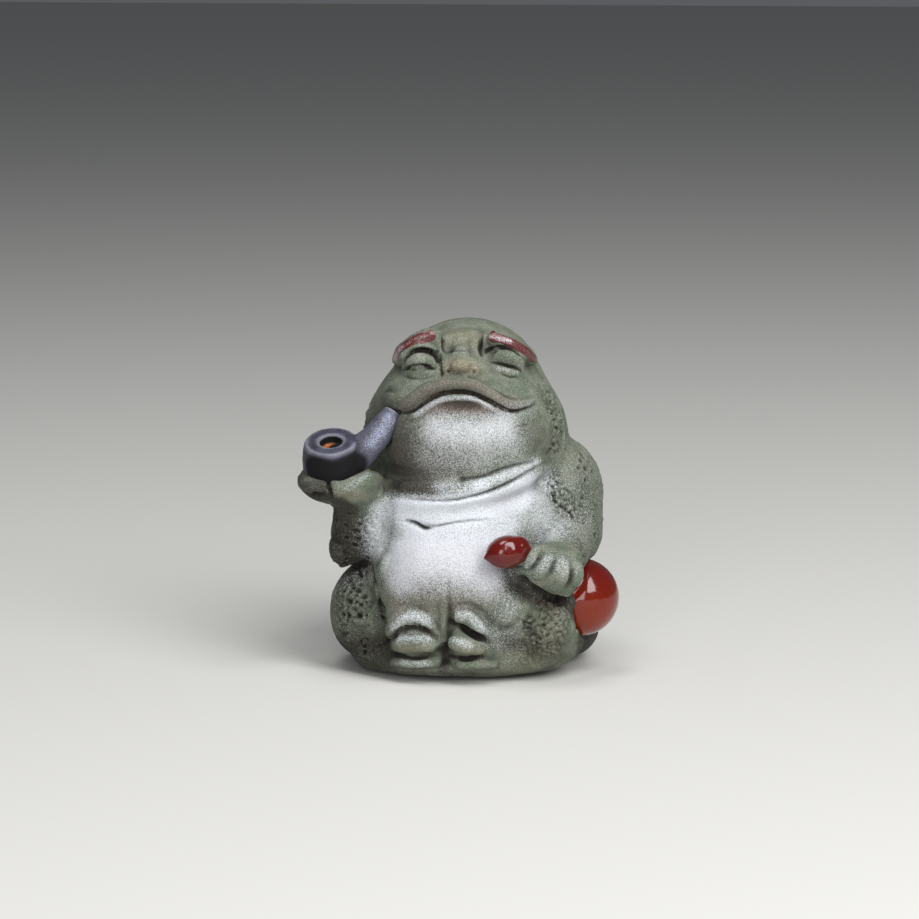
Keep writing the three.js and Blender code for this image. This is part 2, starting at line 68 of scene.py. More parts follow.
right, up, toCamera = cameraAxes()
pixel = shot["distance"] * shot["sensor"] / shot["lens"] / shot["side"]  # size of a pixel at the figure
middle = shot["side"] / 2
aim = right * (middle - shot["footPixel"][0]) * pixel + up * (shot["footPixel"][1] - middle) * pixel
eye = aim + toCamera * shot["distance"]


def addCamera():
    camera = bpy.data.objects.new("camera", bpy.data.cameras.new("camera"))
    camera.data.lens = shot["lens"]
    camera.data.sensor_width = shot["sensor"]
    camera.data.clip_end = 10
    turn = Matrix((right, up, toCamera)).transposed().to_4x4()
    camera.matrix_world = Matrix.Translation(eye) @ turn
    bpy.context.scene.collection.objects.link(camera)
    bpy.context.scene.camera = camera


def pixelRay(x, y):
    onPlane = aim + right * (x - middle) * pixel + up * (middle - y) * pixel
    return (onPlane - eye).normalized()


addCamera()
print("camera placed")


# Shader maths that reads as maths

class Term:
    def __init__(self, finish, socket):
        self.finish, self.socket = finish, socket

    def maths(self, operation, *values, clamp=False):
        return self.finish.node("Math", {"operation": operation, "use_clamp": clamp}, values)

    def __add__(self, other):
        return self.maths("ADD", self, other)

    def __sub__(self, other):
        return self.maths("SUBTRACT", self, other)

    def __rsub__(self, other):
        return self.maths("SUBTRACT", other, self)

    def __mul__(self, other):
        return self.maths("MULTIPLY", self, other)

    def __truediv__(self, other):
        return self.maths("DIVIDE", self, other)

    def __rtruediv__(self, other):
        return self.maths("DIVIDE", other, self)

    def clamped(self):
        return self.maths("ADD", self, 0, clamp=True)

    def step(self, low, high):  # 0 below low, 1 above high, smooth between
        settings = {"interpolation_type": "SMOOTHSTEP"}
        return self.finish.node("MapRange", settings, {"Value": self, "From Min": low, "From Max": high})

    __radd__ = __add__
    __rmul__ = __mul__


class Finish:
    def __init__(self, name):
        self.material = bpy.data.materials.new(name)
        self.material.use_nodes = True
        self.tree = self.material.node_tree
        self.tree.nodes.clear()
        self.coordinates = self.node("TexCoord", output="Object")

    def node(self, kind, settings=None, sockets=(), output=0):
        node = self.tree.nodes.new("ShaderNode" + kind)
        for name, value in (settings or {}).items():
            setattr(node, name, value)
        for key, value in sockets.items() if isinstance(sockets, dict) else enumerate(sockets):
            if isinstance(value, Term):
                self.tree.links.new(value.socket, node.inputs[key])
            else:
                node.inputs[key].default_value = value
        return Term(self, node.outputs[output]) if node.outputs else None

    def noise(self, size, detail=2, rough=0.5, twist=0):  # size of its lumps in metres
        sockets = {"Vector": self.coordinates, "Scale": 1 / size, "Detail": detail, "Roughness": rough}
        return self.node("TexNoise", {}, {**sockets, "Distortion": twist})

    def painted(self, name):  # a layer sprayed on the clay
        return self.node("Attribute", {"attribute_name": name}, output="Fac")

    def mix(self, share, first, second):  # colours; its sockets 0, 6 and 7 are factor, A and B
        return self.node("Mix", {"data_type": "RGBA"}, {0: share, 6: first, 7: second}, output=2)

    def bump(self, height, distance, strength):
        return self.node("Bump", {}, {"Height": height, "Distance": distance, "Strength": strength})

    def finished(self, sockets):
        shader = self.node("BsdfPrincipled", {}, sockets)
        self.node("OutputMaterial", {}, {"Surface": shader})
        return self.material


def tone(red, green, blue):  # a colour as a screen shows it, 0 to 255
    def linear(value):
        share = value / 255
        return share / 12.92 if share <= 0.04045 else ((share + 0.055) / 1.055) ** 2.4
    return (linear(red), linear(green), linear(blue), 1)


# Mesh helpers

def addObject(name, data):
    piece = bpy.data.objects.new(name, data)
    bpy.context.scene.collection.objects.link(piece)
    return piece


def finishPiece(piece, material):
    piece.data.materials.clear()
    piece.data.materials.append(material)


def withModifiers(name, data, modifiers=()):
    # the finished mesh of a mesh or curve
    piece = addObject(name, data)
    for kind, settings in modifiers:
        modifier = piece.modifiers.new(kind.lower(), kind)
        for key, value in settings.items():
            setattr(modifier, key, value)
    graph = bpy.context.evaluated_depsgraph_get()
    result = bpy.data.meshes.new_from_object(piece.evaluated_get(graph))
    bpy.data.objects.remove(piece)
    result.name = name
    return result


def remeshed(voxel, rounds):
    return [
        ("REMESH", {"mode": "VOXEL", "voxel_size": voxel * mm, "use_smooth_shade": True}),
        ("SMOOTH", {"iterations": rounds, "factor": 0.5}),
    ]


def splined(points, pieces):
    # points on a Catmull-Rom curve through the given ones
    knots = [np.array(p, float) for p in points]
    knots = [2 * knots[0] - knots[1], *knots, 2 * knots[-1] - knots[-2]]
    spans = len(points) - 1
    laid = []
    for i in range(pieces + 1):
        place = min(i / pieces * spans, spans - 1e-9)
        k, t = int(place), place % 1
        a, b, c, d = knots[k : k + 4]
        bend = (2 * a - 5 * b + 4 * c - d) * t**2 + (3 * (b - c) + d - a) * t**3
        laid.append(0.5 * (2 * b + (c - a) * t + bend))
    return np.array(laid)


def addRoll(bm, points, radii, pieces, roundness=3):
    # a tube through the points, its radius running smoothly through the given ones and less at its ends
    laid = splined(points, pieces) * mm
    thick = splined([(r, 0, 0) for r in radii], pieces)[:, 0] * mm
    curve = bpy.data.curves.new("roll", "CURVE")
    curve.dimensions = "3D"
    curve.bevel_depth = 1
    curve.bevel_resolution = roundness
    curve.use_fill_caps = True
    spline = curve.splines.new("POLY")
    spline.points.add(len(laid) + 1)
    laid = [laid[0] * 1.5 - laid[1] * 0.5, *laid, laid[-1] * 1.5 - laid[-2] * 0.5]  # half a step further
    thick = [thick[0] * 0.6, *thick, thick[-1] * 0.6]
    for point, place, radius in zip(spline.points, laid, thick):
        point.co = (*place, 1)
        point.radius = radius
    mesh = withModifiers("roll", curve)
    bm.from_mesh(mesh)
    bpy.data.meshes.remove(mesh)
    bpy.data.curves.remove(curve)


class Clay:
    # a skin as arrays in millimetres, worked on like soft clay
    def __init__(self, mesh):
        self.mesh = mesh
        count = len(mesh.vertices)
        self.places = np.empty(count * 3)
        mesh.vertices.foreach_get("co", self.places)
        self.places = self.places.reshape(-1, 3) / mm
        edges = np.empty(len(mesh.edges) * 2, int)
        mesh.edges.foreach_get("vertices", edges)
        self.edges = edges.reshape(-1, 2)
        self.neighbours = np.bincount(self.edges.ravel(), minlength=count)
        self.paint = {}
        self.refresh()

    def refresh(self):
        self.mesh.vertices.foreach_set("co", (self.places * mm).ravel())
        self.mesh.update()
        self.normals = np.empty(len(self.places) * 3)
        self.mesh.vertex_normals.foreach_get("vector", self.normals)
        self.normals = self.normals.reshape(-1, 3)
        bm = bmesh.new()
        bm.from_mesh(self.mesh)
        self.tree = BVHTree.FromBMesh(bm)
        bm.free()

    def averaged(self, values, rounds):
        one, other = self.edges.T
        for _ in range(rounds):
            total = np.stack([
                np.bincount(one, column[other], len(column)) + np.bincount(other, column[one], len(column))
                for column in values.T
            ], axis=1)
            values = (values + total / self.neighbours[:, None]) / 2
        return values

    def hollowness(self, rounds):
        # how far the skin lies below its surroundings, above zero in a crease
        return ((self.averaged(self.places, rounds) - self.places) * self.normals).sum(1)

    def seen(self, x, y):
        hit = self.tree.ray_cast(eye, pixelRay(x, y))[0]
        return None if hit is None else np.array(hit) / mm

    def laid(self, line, step=0.8, lift=0.0):
        # a line of places as it is, or the line on the clay that shows at these pixels of the photograph
        if len(line[0]) == 3:
            return splined(line, 6 * len(line))
        length = sum(math.dist(a, b) for a, b in zip(line, line[1:]))
        hits = [self.seen(*place) for place in splined(line, max(2, round(length / step)))]
        hits = np.array([hit for hit in hits if hit is not None])
        for _ in range(2 if len(hits) > 4 else 0):  # evens out a long line
            hits[1:-1] = (hits[:-2] + 2 * hits[1:-1] + hits[2:]) / 4
        return hits + np.array(toCamera) * lift

    def reach(self, line, far):
        # the vertices within reach of a line, their distances and how far along it they lie, 0 to 1
        low, high = line.min(0) - far, line.max(0) + far
        close = np.flatnonzero(((self.places > low) & (self.places < high)).all(1))
        gaps = np.linalg.norm(self.places[close, None] - line[None], axis=2)
        nearest = gaps.argmin(1)
        distance = gaps[np.arange(len(close)), nearest]
        keep = distance < far
        return close[keep], distance[keep], nearest[keep] / max(1, len(line) - 1)

    def groove(self, line, width, depth):
        # of this half width and depth, running out softly at both ends
        verts, distance, share = self.reach(line, width)
        ends = np.clip(np.sin(np.pi * share), 0, 1) ** 0.9
        shape = (1 - (distance / width) ** 2) ** 2
        self.places[verts] -= self.normals[verts] * (shape * ends * depth)[:, None]

    def swell(self, line, radius, height):
        # a broad soft rise round the line, or a hollow where height is below zero
        verts, distance, _ = self.reach(line, radius)
        self.places[verts] += self.normals[verts] * ((1 - (distance / radius) ** 2) ** 2 * height)[:, None]

    def smooth(self, line, radius, rounds):
        # in full up to half the radius
        verts, distance, _ = self.reach(line, radius)
        share = np.clip(2 - 2 * distance / radius, 0, 1)[:, None]
        self.places[verts] += (self.averaged(self.places, rounds)[verts] - self.places[verts]) * share

    def spray(self, name, line, radius, amount, core=0):
        # core is the share of the radius that gets the full amount; an amount below zero wipes off
        layer = self.paint.setdefault(name, np.zeros(len(self.places)))
        verts, distance, _ = self.reach(line, radius)
        fall = np.clip((1 - distance / radius) / (1 - core), 0, 1)
        fall = fall * fall * (3 - 2 * fall)
        if amount > 0:
            layer[verts] += (1 - layer[verts]) * fall * amount
        else:
            layer[verts] *= 1 + fall * amount

    def sprayAll(self, layers):
        for name, strokes in layers.items():
            for line, *rest in strokes:
                self.spray(name, self.laid(line, 1.5), *rest)

    def pitted(self, layer, marks, draw):
        # pits at random where the layer is, denser where it is stronger, each with a low rim;
        # a depth below zero makes warts
        tree = KDTree(len(self.places))
        for i, place in enumerate(self.places):
            tree.insert(place, i)
        tree.balance()
        smallest, largest = marks["radii"]
        order = np.flatnonzero(layer > 0.15).tolist()
        draw.shuffle(order)
        free = np.ones(len(self.places), bool)
        moves = np.zeros(len(self.places))
        count = 0
        for i in order:
            if not free[i]:
                continue
            gap = marks["spacing"] * draw.uniform(0.7, 1.9) / layer[i] ** 0.7
            free[[k for _, k, _ in tree.find_range(self.places[i], gap)]] = False
            normal = Vector(self.normals[i])
            along = normal.orthogonal().normalized()
            along.rotate(Matrix.Rotation(draw.uniform(0, math.tau), 3, normal))
            radius = smallest + (largest - smallest) * draw.random() ** 1.5  # more small ones than large
            half = np.array(along) * draw.uniform(0, marks["stretch"])
            near = [k for _, k, _ in tree.find_range(self.places[i], radius * 1.8 + marks["stretch"])]
            offset = self.places[near] - self.places[i]
            share = np.clip(offset @ half / max(half @ half, 1e-9), -1, 1)
            u = np.linalg.norm(offset - share[:, None] * half, axis=1) / radius
            rim = 0.25 * np.exp(-(((u - 1.35) / 0.3) ** 2))
            shape = np.clip(1 - u**2, 0, 1) ** 2 - rim
            move = shape * (marks["depth"] * draw.uniform(0.5, 1) * min(1, layer[i] * 1.6))
            moves[near] = np.where(abs(move) > abs(moves[near]), move, moves[near])
            count += 1
        self.places -= self.normals * moves[:, None]
        return count

    def crumble(self, layer, size, height):
        # broken ground where the layer is, with lumps of this size
        for i in np.flatnonzero(layer > 0.02):
            place = Vector(self.places[i] / size)
            rise = noise.turbulence(place, 3, True, amplitude_scale=0.6, frequency_scale=2.2)
            self.places[i] += self.normals[i] * ((rise - 0.6) * height * layer[i])

    def keepPaint(self):
        for name, values in self.paint.items():
            self.mesh.attributes.new(name, "FLOAT", "POINT").data.foreach_set("value", values)


# The toad: its CAD skin smoothed, the small forms added, then creases, pits and paint.
# Lines of pairs are given as they show in the photograph, in its pixels; lines of threes are places,
# and all sizes are in millimetres. Right and left are the toad's own.
toadSetup = {
    "baseRemesh": (0.5, 6),  # voxel and rounds of smoothing, before the small forms go on
    "remesh": (0.26, 5),
    "triangles": 190000,
    "seed": 7,
    "smoothRounds": 12,
    "crumble": (1, 0.75),  # size and height of its lumps
    "pits": {"spacing": 0.72, "radii": (0.25, 0.8), "depth": 0.85, "stretch": 0.15},
    "warts": {"spacing": 2.2, "radii": (0.4, 0.7), "depth": -0.25, "stretch": 0.3},
    # hollow and deep are painted shade in creases and hollows; worn marks the rubbed edges
    "creaseShadeAndWear": {"hollow": (6, 0.12), "deep": (40, 0.5), "worn": (10, -0.12)},  # rounds, depth at full strength
    "sole": {"halfWidth": 20, "halfDepth": 19, "flat": 0.6, "lift": 1.4, "height": 5},
}

# name: line, radii along it, lift towards the viewer
forms = {
    "rightBrow": ([(395, 361), (398.5, 354.5), (405, 348), (414, 341.5), (424, 337), (433, 335), (441, 336)],
                  [0.6, 0.85, 1.05, 1.2, 1.3, 1.3, 0.8], 0.15),
    "rightBrowEdge": ([(399, 364), (403, 357), (410, 350), (418, 346.5), (427, 345.5), (435, 349)],
                      [0.5, 0.7, 0.8, 0.8, 0.75, 0.6], 0.3),
    "rightBrowRoot": ([(433, 338), (439, 343), (441.5, 352)], [1, 0.8, 0.5], 0.1),
    "leftBrowRoot": ([(486, 335), (486.5, 340), (485.5, 347)], [0.7, 0.85, 0.65], -0.35),
    "leftBrowEdge": ([(493, 346), (506, 349), (518, 355), (528, 363)], [0.5, 0.65, 0.6, 0.4], 0.1),
    "leftBrow": ([(491, 337), (500, 339.5), (511, 343.5), (521, 349), (529, 355.5), (534, 361)],
                 [1.2, 1.2, 1.1, 1, 0.85, 0.65], 0.2),
    "rightLid": ([(408, 364.5), (414, 361), (422, 360), (433, 364)], [0.7, 1.1, 1.2, 0.8], -0.1),
    "leftLid": ([(494, 361), (500, 357), (508, 356), (517, 361)], [0.6, 1, 1.2, 0.8], -0.15),
    "rightLowerLid": ([(405, 373), (419, 373.5), (433, 372)], [0.35, 0.5, 0.4], 0),
    "leftLowerLid": ([(497, 368.5), (508, 371), (519, 373.5)], [0.35, 0.5, 0.35], 0),
    "noseTip": ([(453, 367.5), (461, 365.5), (468, 367)], [0.9, 1.2, 0.9], -0.3),
    "rightNoseWing": ([(443.5, 370.5), (448, 370)], [0.5, 0.65], -0.1),
    "leftNoseWing": ([(472, 369), (478, 371.5)], [0.75, 0.65], -0.1),
    "noseBridge": ([(461, 340), (461, 356)], [1.4, 1.4], -1),
    "upperLip": ([(400, 407), (410, 401), (420, 393.5), (430, 388), (442, 384), (455, 383), (470, 384),
                  (483, 389), (493, 396), (503, 402), (514, 405), (526, 404), (534, 400)],
                 [0.5, 0.85, 0.95, 0.95, 0.95, 0.95, 0.95, 0.95, 0.95, 0.85, 0.75, 0.6, 0.4], -0.05),
    "lowerLip": ([(409, 418), (421, 412), (432, 404.5), (445, 399.5), (460, 398), (474, 399.5), (486, 405),
                  (496, 411)], [0.35, 0.5, 0.55, 0.6, 0.6, 0.6, 0.5, 0.35], 0.05),
    "chinRoll": ([(405, 489), (430, 490), (460, 489), (485, 484), (508, 475.5), (530, 467)],
                 [0.9, 1.3, 1.4, 1.4, 1.2, 0.7], -0.55),
    "fingerBlock": ([(-23.0, -18.3, 32.0), (-22.5, -19.0, 31.5), (-21.2, -20.4, 31.3), (-19.2, -21.3, 31.4)],
                    [1.4, 1.5, 1.3, 0.85], 0),
    "palmEdge": ([(-23, -18.3, 30.9), (-21.4, -17.9, 29.8), (-19.4, -16.2, 28.9)], [1, 1.2, 1.3], 0),
    "thumbTop": ([(-18.3, -21.1, 31.5), (-16.2, -20.6, 31.4), (-14.6, -19.2, 32), (-13, -17, 32.8)],
                 [0.85, 0.95, 1.05, 0.9], 0),
    "thumbPad": ([(-18.1, -20, 30.3), (-16.2, -19, 29.7), (-14.1, -17.5, 30), (-11.9, -15.5, 30.4)],
                 [0.85, 1.25, 1.5, 1.6], 0),
    "finger1": ([(14.2, -20.0, 22.3), (13.6, -20.7, 21.6), (13.0, -21.0, 20.5), (12.2, -20.8, 19.4)],
                [0.6, 0.8, 0.8, 0.6], 0),
    "finger2": ([(550, 556), (543, 566), (536, 577)], [0.9, 1.3, 1.1], -0.35),
    "finger3": ([(562, 558), (560, 573), (555, 588)], [1.1, 1.7, 1.3], -0.7),
    "finger4": ([(577, 563), (577, 574), (573, 585)], [0.8, 1.2, 1], -0.55),
    "kneeFlank": ([(17.2, -13.2, 15.3), (17.9, -12.6, 12.9), (18.9, -11.2, 10.5)], [1.3, 1.6, 1.4], 0),
    "fistSide": ([(18.8, -14.8, 19.8), (18.8, -14.8, 17.8), (18.1, -15, 16.5)], [1, 1.3, 1.2], 0),
    "rightToe1": ([(393, 634), (399, 623.5), (408, 617.5), (418, 617), (426, 621), (433, 629)],
                  [0.8, 0.95, 1.05, 1.05, 0.95, 0.6], 0.3),
    "rightToe2": ([(395, 646), (405, 644), (420, 644), (433, 647)], [0.9, 1.4, 1.4, 0.9], -0.5),
    "rightToe3": ([(393, 664), (413, 665), (432, 664)], [0.9, 1.1, 0.9], -0.1),
    "leftToe1": ([(456, 617), (468, 618), (479, 627), (487, 636)], [0.9, 1.15, 1, 0.5], 0.1),
    "leftToe2": ([(452, 642), (464, 645.5), (481, 651)], [1.1, 1.35, 0.8], -0.4),
    "handBack": ([(-23.2, -16.8, 33.1), (-23.2, -17.6, 32.1), (-23.0, -18.2, 31.4)], [0.6, 0.85, 1], 0),
    "haunchFront": ([(-12.6, -13.4, 11.3), (-12.5, -13.4, 8.4), (-12.0, -13.2, 5.2)],
                    [2.6, 3.2, 3], 0),
    "rightGapFill": ([(-6.0, -20.4, 9.0), (-4.6, -20.5, 9.1), (-3.2, -20.3, 8.7)], [0.7, 0.7, 0.7], 0),
    "leftToeFill": ([(1.8, -19.5, 9.3), (3.2, -19.4, 8.5), (4.4, -19.2, 7.7)], [0.7, 0.8, 0.7], 0),
    "rightToeFill": ([(-7.8, -19.2, 4.3), (-5.6, -19.9, 4.3), (-2.9, -19.8, 4.6)], [0.7, 0.7, 0.7], 0),
    "leftSoleFill": ([(1.2, -19.9, 4.6), (3.4, -19.6, 4.3), (4.9, -19.0, 4.5)], [0.7, 0.7, 0.7], 0),
    "bellySeam": ([(-0.4, -20.0, 15.9), (-0.4, -19.5, 12.7), (-0.5, -19.0, 9.9), (-0.6, -18.7, 7.0)],
                  [1.6, 1.6, 1.6, 1.3], 0),
    "soleFill": ([(-8, -17.4, 1.7), (-4, -18, 1.8), (-1, -18, 1.8), (3, -17.4, 1.7)],
                 [1.7, 1.7, 1.7, 1.7], 0),
    "elbowTip": ([(339, 540), (340.5, 552), (347, 559)], [1.6, 1.9, 1.5], -1.2),
    "leftToe3": ([(458, 666), (475, 667), (495, 667)], [1, 1.1, 1], 0),
}

# name: line, half width, depth
creases = {
    "mouth": ([(391, 411), (403, 413), (413, 411), (421, 405.5), (430, 399.5), (437, 395.5), (445, 393),
               (460, 391.5), (470, 393), (476, 394.7), (480, 396.7), (484, 398.7), (488, 400), (492, 402),
               (496, 404.7), (500, 406.7), (506, 409.7), (513, 411.5), (521, 410), (529, 407), (538, 402.5)],
              0.42, 1),
    "mouthHole": ([(391, 411), (396, 412.5), (401, 413)], 0.7, 0.8),
    "underLip": ([(438, 406), (461, 406), (483, 406)], 1.3, 0.4),
    "underNose": ([(440, 379), (452, 377.5), (465, 377.5), (480, 379)], 0.6, 0.3),
    "lipTopRight": ([(402, 399), (412, 391), (424, 383), (436, 379)], 0.7, 0.25),
    "lipTopLeft": ([(484, 380), (494, 388), (505, 396), (518, 399)], 0.7, 0.2),
    "rightSocket": ([(403, 365), (407, 357), (413, 351.5), (420, 350), (428, 350.5), (434, 354), (438, 360),
                     (440.5, 368)], 0.55, 1),
    "leftSocket": ([(482, 355), (488, 350), (496, 347.5), (507, 348), (516, 351.5), (524, 358), (530, 367)],
                   0.5, 0.7),
    "rightEyeSlit": ([(402, 370), (408, 368), (415, 366), (422, 365.5), (429, 367), (436, 370)], 0.45, 0.7),
    "leftEyeSlit": ([(490, 362), (500, 364), (510, 366.5), (519, 369), (522, 372)], 0.38, 0.6),
    "rightUnderLid": ([(403, 374), (411, 378), (424, 378), (436, 375)], 0.4, 0.2),
    "leftUnderLid": ([(500, 373), (509, 376.5), (518, 377)], 0.3, 0.25),
    "browFurrowRight": ([(442.5, 335), (443.5, 343), (443, 353)], 0.5, 0.8),
    "browFurrowLeft": ([(482, 334), (480.5, 340), (480, 348), (482, 358)], 0.6, 0.7),
    "bridgeWrinkle": ([(445, 354), (450, 351.5), (458, 350.5), (466, 350.5), (472, 353)], 0.35, 0.35),
    "noseSideRight": ([(440, 353), (439.5, 362), (440.5, 370), (442, 377)], 0.45, 0.75),
    "rightNostril": ([(446.5, 370.5), (450, 372)], 0.4, 0.5),
    "leftNostril": ([(472, 371), (476, 373)], 0.45, 0.5),
    "cheekRight": ([(380, 393), (388, 390), (398, 392)], 0.8, 0.3),
    "rollTop": ([(455, 479), (480, 476.5), (497, 470.5), (513, 465.5), (528, 462), (541, 460)], 0.5, 0.25),
    "rollBottom": ([(386, 495), (400, 497.5), (420, 500), (450, 500.5), (470, 497.5), (485, 493.5),
                    (500, 487.5), (515, 480), (530, 471), (545, 463), (558, 458)], 0.6, 0.45),
    "chestNotch": ([(404, 520.5), (414, 523), (424, 527.5), (436, 526.5)], 0.65, 0.75),
    "chestLine": ([(393, 520), (410, 521), (432, 526), (455, 522.5), (478, 520), (499, 520)], 0.4, 0.22),
    "bellyLeft": ([(370, 560), (374, 578), (379, 600), (387, 625)], 0.8, 0.9),
    "bellyLine": ([(449, 575), (449, 606), (448, 632), (446, 655)], 0.8, 0.35),
    "elbow": ([(331, 563), (350, 567), (370, 562)], 0.9, 0.8),
    "thumbTip": ([(328, 483), (329.5, 490), (332, 499)], 0.45, 1),
    "palm": ([(310, 493), (319, 493.5), (328, 495)], 1.2, 0.5),
    "fingerGap1": ([(545, 550), (538, 561), (530, 572)], 0.8, 0.2),
    "fingerGap2": ([(557, 557), (552, 569), (544, 582)], 0.9, 0.2),
    "fingerGap3": ([(570, 562), (571, 576), (567, 591)], 0.9, 0.25),
    "underFist": ([(520, 574), (527, 584), (541, 593), (556, 599), (570, 598), (579, 592)], 1.3, 2),
    "rightToeGap1": ([(390, 641), (400, 630.5), (411, 627), (424, 629), (436, 638)], 0.65, 0.85),
    "rightToeGap2": ([(390, 652), (403, 656.5), (418, 658), (438, 654)], 0.65, 0.7),
    "leftToeGap1": ([(447, 620), (459, 625), (469, 631), (479, 637.5), (489, 641)], 0.85, 1.2),
    "leftToeGap2": ([(448, 655), (466, 659.5), (484, 655)], 0.65, 0.7),
    "rightFootTop": ([(390, 630), (396, 618), (407, 609), (419, 609), (430, 615)], 0.8, 0.18),
    "leftFootTop": ([(452, 612), (460, 604), (472, 604), (484, 612), (493, 625)], 0.7, 0.12),
    "thighEdge": ([(484, 613), (493, 623), (503, 629), (514, 626), (521, 612), (520, 594)], 1.4, 0.6),
    "kneeEdge": ([(536, 603), (530, 614), (527, 628), (532, 640)], 1.2, 0.5),
    "kneeBack": ([(574, 597), (577, 615), (577, 640)], 0.9, 0.6),
    "shoulderScar1": ([(551, 484), (554, 491), (553.5, 498), (559, 505), (566, 510)], 0.28, 0.45),
    "shoulderScar2": ([(562, 506), (570, 512), (573, 517), (582, 519.5)], 0.26, 0.4),
    "shoulderScar3": ([(563, 489), (570, 492), (573, 499)], 0.22, 0.25),
    "shoulderScar4": ([(576, 503), (583, 508)], 0.25, 0.3),
    "jowlFold": ([(545, 455), (553, 447), (560, 440)], 0.35, 0.35),
    "throatFold": ([(513, 428), (522, 425), (530, 424)], 0.3, 0.2),
}

# name: line, radius
smoothed = {
    "mouth": ([(425, 403), (437, 395.5), (445, 393), (460, 391.5), (470, 393), (480, 396.7), (488, 400),
               (496, 404.7), (506, 409.7)], 0.45),
    "toeGap": ([(400, 630.5), (411, 627), (424, 629), (432, 633)], 0.8),
    "haunch": ([(361, 600), (363, 622), (368, 645)], 2.4),
    "besideBulb": ([(574, 600), (575, 618), (581, 635)], 2),
}

# name: line, radius, height
swells = {
    "chest": ([(400, 510), (440, 511), (488, 503), (520, 490)], 4.5, 0.75),
    "rump": ([(18.5, -8, 4), (19.5, -3, 4), (19, 2, 4)], 6, 0.8),
    "armInside": ([(380, 505), (379, 525), (378, 548)], 3, 0.8),
    "underThroat": ([(392, 477), (420, 480), (450, 481)], 2.2, 0.7),
    "bellyRight": ([(400, 606), (402, 588), (418, 572)], 8, 1.3),
    "bellySide": ([(382, 600), (380, 580), (385, 565)], 2.5, 0.5),
    "bellyLeft": ([(470, 565), (480, 580)], 7, 0.6),
    "innerThigh": ([(492, 588), (502, 601), (507, 612)], 4.5, 0.5),
    "knee": ([(550, 608), (556, 622), (551, 636)], 4.5, 0.6),
}

# layer: lines with a radius, an amount and the share of the radius at full strength
texture = {
    "crumble": [
        ([(553, 603), (556, 620), (548, 640)], 3.6, 1, 0.5),
        ([(527, 620), (533, 630)], 2.4, 0.7),
        ([(554, 482), (562, 500), (576, 514)], 2.6, 0.8, 0.3),
        ([(566, 530), (580, 545), (585, 560)], 2.5, 0.6, 0.3),
        ([(549, 398), (557, 420), (558, 440)], 3, 1, 0.4),
        ([(368, 400), (365, 425)], 2.5, 0.7, 0.3),
        ([(340, 590), (350, 615), (340, 640), (370, 655)], 5.5, 0.45),
        ([(336, 520), (345, 540), (347, 556)], 4, 0.35),
        ([(366, 515), (364, 545)], 2.5, 0.5),
        ([(545, 645), (525, 660)], 3, 0.6),
    ],
    "pits": [
        ([(348, 582), (347, 600), (343, 620)], 5, 1, 0.6),
        ([(350, 635), (365, 650)], 3, 0.5),
        ([(372, 590), (376, 620)], 3.5, 0.45),
        ([(560, 615), (553, 635), (545, 650)], 4, 0.25, 0.5),
        ([(340, 520), (350, 545), (348, 560)], 4, 0.5, 0.4),
        ([(590, 470), (598, 500), (598, 540)], 5, 0.35, 0.4),
        ([(548, 390), (560, 420), (560, 440)], 3.5, 0.6, 0.3),
        ([(372, 400), (366, 420)], 3, 0.6, 0.3),
        ([(18, 2, 38), (19, 6, 25), (17, 8, 12)], 9, 0.24, 0.3),
        ([(-14, 4, 38), (-16, 6, 25), (-18, 4, 10)], 9, 0.24, 0.3),
        ([(0, 17, 40), (0, 21, 26), (0, 20, 10)], 10, 0.22, 0.3),
    ],
}

